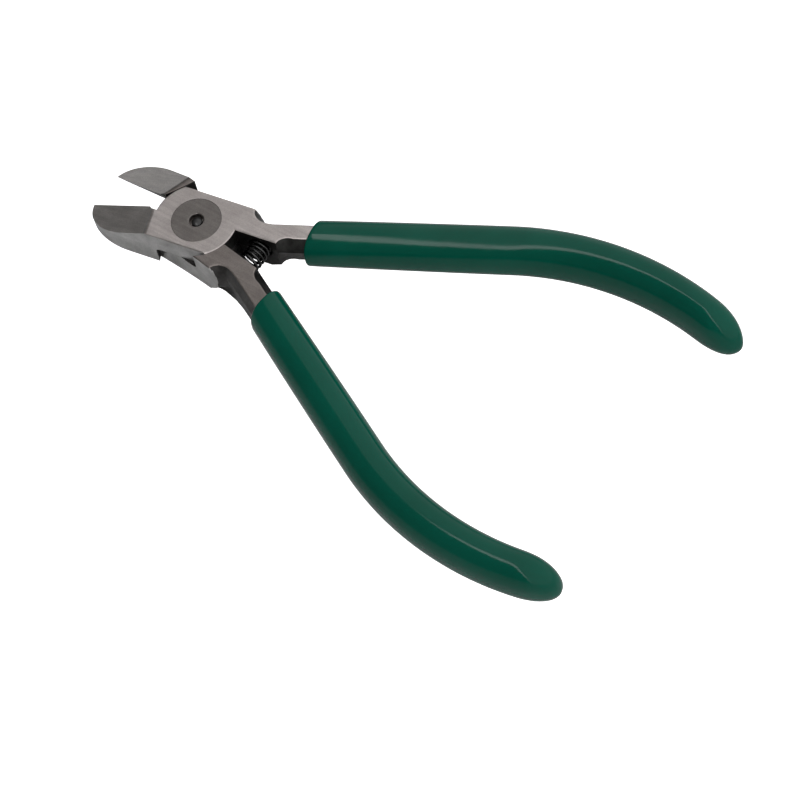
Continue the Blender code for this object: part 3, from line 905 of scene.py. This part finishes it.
def steel_material(name, dark, light, roughness, grind_turn):
    """Ground steel: fine parallel grinding marks, and slow stains in the colour."""
    material, tree, shader = new_material(name, 1.0, roughness)
    marks = noise(tree, 900.0, 5.0, stretch=(0.06, 1.6, 0.5), turn=grind_turn)
    stains = noise(tree, 260.0, 3.0)
    colour = ramp(tree, stains, dark, light, 0.3, 0.7)
    streaks = ramp(tree, marks, (0.82, 0.82, 0.82), (1.0, 1.0, 1.0), 0.35, 0.65)
    grain = ramp(tree, noise(tree, 3500.0, 2.0), (0.86, 0.86, 0.86), (1.0, 1.0, 1.0), 0.35, 0.65)
    colour = multiply(tree, multiply(tree, colour, streaks), grain)
    tree.links.new(colour, shader.inputs["Base Color"])
    rough = ramp(tree, marks, roughness - 0.05, roughness + 0.08, 0.3, 0.7)
    tree.links.new(rough, shader.inputs["Roughness"])
    bump(tree, shader, marks, 0.25, 0.02 * MM)
    return material


def black_material(name, dark, light, roughness):
    """Black oxide over a forged skin."""
    material, tree, shader = new_material(name, 1.0, roughness)
    skin = noise(tree, 1800.0, 4.0)
    colour = ramp(tree, noise(tree, 400.0, 3.0), dark, light, 0.35, 0.65)
    tree.links.new(colour, shader.inputs["Base Color"])
    rough = ramp(tree, skin, roughness - 0.06, roughness + 0.1, 0.3, 0.7)
    tree.links.new(rough, shader.inputs["Roughness"])
    bump(tree, shader, skin, 0.35, 0.03 * MM)
    return material


def vinyl_material():
    """Glossy dipped vinyl with the faint unevenness of a drained coating."""
    material, tree, shader = new_material("green_vinyl", 0.0, 0.16)
    shader.inputs["Specular IOR Level"].default_value = 0.15
    tone = noise(tree, 60.0, 2.0)
    colour = ramp(tree, tone, (0.0005, 0.065, 0.042), (0.001, 0.076, 0.05), 0.35, 0.65)
    tree.links.new(colour, shader.inputs["Base Color"])
    rough = ramp(tree, noise(tree, 900.0, 3.0), 0.07, 0.12, 0.3, 0.7)
    tree.links.new(rough, shader.inputs["Roughness"])
    bump(tree, shader, noise(tree, 130.0, 2.0), 0.12, 0.2 * MM)
    return material


# ---------------------------------------------------------------- stage

def make_table():
    """A pale table that the steel reflects; the camera sees the white floor instead."""
    bm = bmesh.new()
    bmesh.ops.create_grid(bm, x_segments=1, y_segments=1, size=TABLE_SIZE / 2)
    table = object_from_bmesh("table", bm)
    table.location.z = -TABLE_DROP
    material, _, shader = new_material("table_white", 0.0, 0.9)
    shader.inputs["Base Color"].default_value = (0.7, 0.7, 0.7, 1.0)
    table.data.materials.append(material)
    table.visible_camera = False


def make_backdrop():
    """A plain white floor and studio walls in one round shell, seen by the camera alone."""
    bm = bmesh.new()
    bmesh.ops.create_uvsphere(bm, u_segments=48, v_segments=24, radius=BACKDROP_R)
    backdrop = object_from_bmesh("floor_and_walls", bm)
    material, _, shader = new_material("studio_white", 0.0, 1.0)
    shader.inputs["Emission Color"].default_value = (1.0, 1.0, 1.0, 1.0)
    shader.inputs["Emission Strength"].default_value = 1.0
    backdrop.data.materials.append(material)
    backdrop.visible_diffuse = False
    backdrop.visible_glossy = False
    backdrop.visible_transmission = False
    backdrop.visible_shadow = False


def add_math(tree, operation, first, second):
    """A sum, difference or product of two outputs or plain numbers."""
    node = tree.nodes.new("ShaderNodeMath")
    node.operation = operation
    for socket, value in zip(node.inputs, (first, second)):
        if isinstance(value, float):
            socket.default_value = value
        else:
            tree.links.new(value, socket)
    return node.outputs["Value"]


def lit_beyond(tree, direction, side, slope, blur):
    """1 where a direction leans to the side by more than the slope, else 0."""
    facing = tree.nodes.new("ShaderNodeVectorMath")
    facing.operation = "DOT_PRODUCT"
    facing.inputs[1].default_value = Vector((*side, -slope)).normalized()
    tree.links.new(direction, facing.inputs[0])
    return ramp(tree, facing.outputs["Value"], 0.0, 1.0, -blur, blur)


def make_studio():
    """Soft light from the far side: bright beyond one slanted plane and dim before it, with
    a long bright window inside that edge and a thin dark seam behind the window."""
    world = bpy.data.worlds.new("studio")
    world.use_nodes = True
    tree = world.node_tree
    direction = tree.nodes.new("ShaderNodeTexCoord").outputs["Generated"]
    lit, past_window, seam_near, seam_far = [
        lit_beyond(tree, direction, LIGHT_SIDE, slope, EDGE_BLUR)
        for slope in (LIGHT_EDGE, WINDOW_FAR, SEAM_NEAR, SEAM_FAR)]
    seam = add_math(tree, "SUBTRACT", seam_near, seam_far)
    bright = add_math(tree, "SUBTRACT", lit, seam)
    band = add_math(tree, "SUBTRACT", lit, past_window)
    along = lit_beyond(tree, direction, WINDOW_SIDE, WINDOW_END, WINDOW_BLUR)
    window = add_math(tree, "MULTIPLY", band, along)
    soft = add_math(tree, "MULTIPLY", bright, BRIGHT_GLOW - DIM_GLOW)
    strong = add_math(tree, "MULTIPLY", window, WINDOW_GLOW - BRIGHT_GLOW)
    background = tree.nodes["Background"]
    glow = add_math(tree, "ADD", add_math(tree, "ADD", soft, strong), DIM_GLOW)
    tree.links.new(glow, background.inputs["Strength"])
    background.inputs["Color"].default_value = (1.0, 1.0, 1.0, 1.0)
    bpy.context.scene.world = world


def make_camera():
    """Looks down at the tool from the handles' side, with the jaws to the left."""
    camera = bpy.data.cameras.new("camera")
    camera.lens = CAMERA_LENS
    camera.sensor_width = CAMERA_SENSOR
    camera.clip_start = 0.01
    viewer = bpy.data.objects.new("camera", camera)
    bpy.context.scene.collection.objects.link(viewer)
    reach = math.cos(CAMERA_ELEVATION)
    back = Vector((reach * math.cos(CAMERA_AZIMUTH), reach * math.sin(CAMERA_AZIMUTH),
                   math.sin(CAMERA_ELEVATION)))
    aim = back.to_track_quat("Z", "Y")
    roll = Matrix.Rotation(CAMERA_ROLL, 4, "Z")
    viewer.matrix_world = (Matrix.Translation(CAMERA_AIM + back * CAMERA_DISTANCE)
                           @ aim.to_matrix().to_4x4() @ roll)
    bpy.context.scene.camera = viewer
    bpy.context.scene.view_settings.view_transform = "Standard"


# ---------------------------------------------------------------- the scene

def main():
    make_camera()
    front_steel = steel_material("front_steel", (0.45, 0.41, 0.395), (0.53, 0.485, 0.47), 0.36,
                                 math.radians(-55.0))
    rear_steel = steel_material("rear_steel", (0.205, 0.182, 0.170), (0.255, 0.228, 0.214), 0.4,
                                math.radians(-35.0))
    blade = steel_material("blade_steel", (0.52, 0.49, 0.47), (0.60, 0.57, 0.55), 0.34,
                           math.radians(80.0))
    # Painted light: the rear jaw's blade steel is a lighter copy of the blade steel. Its paler
    # colour stands in for the brighter reflection on the rear flush face.
    painted_light_rear_jaw_blade = steel_material("painted_light_rear_jaw_blade_steel", (0.72, 0.69, 0.67), (0.82, 0.785, 0.765), 0.34,
                                math.radians(80.0))
    side = steel_material("side_steel", (0.38, 0.375, 0.37), (0.60, 0.595, 0.59), 0.42,
                          math.radians(90.0))
    disc = steel_material("rivet_steel", (0.18, 0.165, 0.156), (0.225, 0.207, 0.196), 0.36,
                          math.radians(-20.0))
    black = black_material("black_oxide", (0.035, 0.034, 0.033), (0.065, 0.063, 0.061), 0.42)
    wire = black_material("spring_black", (0.04, 0.04, 0.04), (0.09, 0.09, 0.09), 0.2)
    pin_black = black_material("pin_black", (0.045, 0.045, 0.045), (0.065, 0.065, 0.065), 0.35)
    vinyl = vinyl_material()
    make_lever("front_lever", 1, FRONT_BODY, [front_steel, blade, side, black])
    make_lever("rear_lever", -1, REAR_BODY, [rear_steel, painted_light_rear_jaw_blade, side, black])
    make_rivet(disc)
    make_pin(pin_black)
    make_spring(wire)
    make_grip("front_grip", FRONT_GRIP_ENDS, FRONT_NOSE_SKEW, 1, FRONT_BODY, vinyl)
    make_grip("rear_grip", REAR_GRIP_ENDS, REAR_NOSE_SKEW, -1, REAR_BODY, vinyl)
    make_table()
    make_backdrop()
    make_studio()


main()
